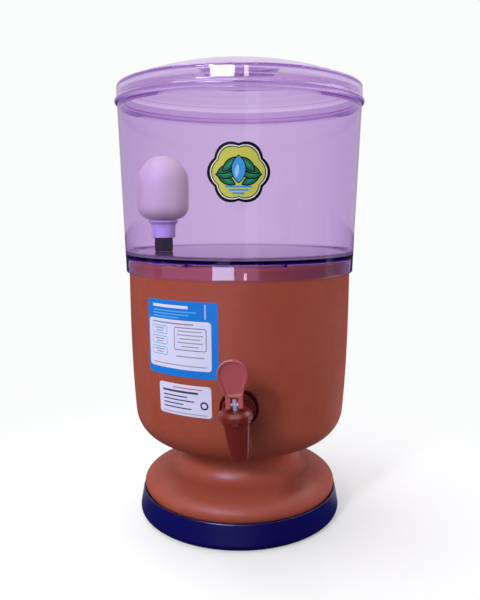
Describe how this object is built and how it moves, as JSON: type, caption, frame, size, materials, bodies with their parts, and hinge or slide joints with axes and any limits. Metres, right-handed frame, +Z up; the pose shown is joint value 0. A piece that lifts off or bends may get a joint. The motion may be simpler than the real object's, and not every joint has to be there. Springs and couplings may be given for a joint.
{
  "type": "clay water filter",
  "caption": "Clay reservoir in a plastic dish under a clear container with a ceramic candle, float valve and domed lid, with a lever tap.",
  "frame": {"origin": "centre of the dish's flat underside, on the ground", "axes": "+Z up along the filter's centre line, -Y out of the front where the tap points, +X to the right seen from the front"},
  "size_m": [0.241, 0.2822, 0.4484],
  "materials": {
    "base_dish": "gloss navy blue plastic",
    "clay_reservoir": "matte unglazed terracotta",
    "tap_body": "gloss reddish-brown plastic",
    "tap_outer_washer": "matte",
    "tap_inner_washer": "matte",
    "tap_back_nut": "gloss",
    "tap_seal": "matte silicone",
    "tap_cap_nut": "gloss",
    "tap_lever": "gloss pale red plastic",
    "lever_pin": "satin",
    "valve_stem": "satin white plastic",
    "valve_plug": "matte silicone",
    "upper_container": "clear violet plastic, gloss",
    "candle_shell": "matte white porous ceramic",
    "carbon_core": "matte black carbon block",
    "candle_base": "satin",
    "candle_upper_washer": "matte",
    "candle_lower_washer": "matte",
    "candle_wing_nut": "satin",
    "float_valve_body": "satin",
    "float_upper_shell": "satin",
    "float_lower_shell": "satin",
    "float_tip": "matte",
    "lid": "clear violet plastic, gloss",
    "performance_sticker": "satin blue and white paper",
    "product_sticker": "satin white paper",
    "badge_sticker": "satin yellow-green film"
  },
  "bodies": {
    "dish": {"base_dish": "base_dish"},
    "reservoir": {"clay_reservoir": "clay_reservoir", "tap_body": "tap_body", "tap_outer_washer": "tap_outer_washer", "tap_inner_washer": "tap_inner_washer", "tap_back_nut": "tap_back_nut", "tap_seal": "tap_seal", "tap_cap_nut": "tap_cap_nut", "performance_sticker": "performance_sticker", "product_sticker": "product_sticker"},
    "valve_stem": {"valve_stem": "valve_stem", "valve_plug": "valve_plug"},
    "tap_lever": {"tap_lever": "tap_lever", "lever_pin": "lever_pin"},
    "upper_container": {"upper_container": "upper_container", "candle_shell": "candle_shell", "carbon_core": "carbon_core", "candle_base": "candle_base", "candle_upper_washer": "candle_upper_washer", "candle_lower_washer": "candle_lower_washer", "candle_wing_nut": "candle_wing_nut", "float_valve_body": "float_valve_body", "badge_sticker": "badge_sticker"},
    "float": {"float_upper_shell": "float_upper_shell", "float_lower_shell": "float_lower_shell", "float_tip": "float_tip"},
    "lid": {"lid": "lid"}
  },
  "joints": [
    {"name": "reservoir_lift", "type": "slide", "parent": "dish", "child": "reservoir", "axis": [0, 0, 1], "range_m": [0, 0.06]},
    {"name": "stem_lift", "type": "slide", "parent": "reservoir", "child": "valve_stem", "axis": [-0.0818, -0.0656, 0.9945], "range_m": [0, 0.0029]},
    {"name": "lever_tilt", "type": "hinge", "parent": "valve_stem", "child": "tap_lever", "pos_m": [-0.0037, -0.14782, 0.15399], "axis": [0.9956, -0.0522, 0.0785], "range_deg": [0, 80], "stiffness_Nm_per_rad": 0.01, "springref_deg": -22.92},
    {"name": "container_lift", "type": "slide", "parent": "reservoir", "child": "upper_container", "axis": [0, 0, 1], "range_m": [0, 0.075]},
    {"name": "float_rise", "type": "slide", "parent": "upper_container", "child": "float", "axis": [0, 0, 1], "range_m": [0, 0.005]},
    {"name": "lid_lift", "type": "slide", "parent": "upper_container", "child": "lid", "axis": [0, 0, 1], "range_m": [0, 0.04]}
  ],
  "couplings": [
    {"joint": "stem_lift", "follows": "lever_tilt", "m_per_rad": 0.002076}
  ]
}
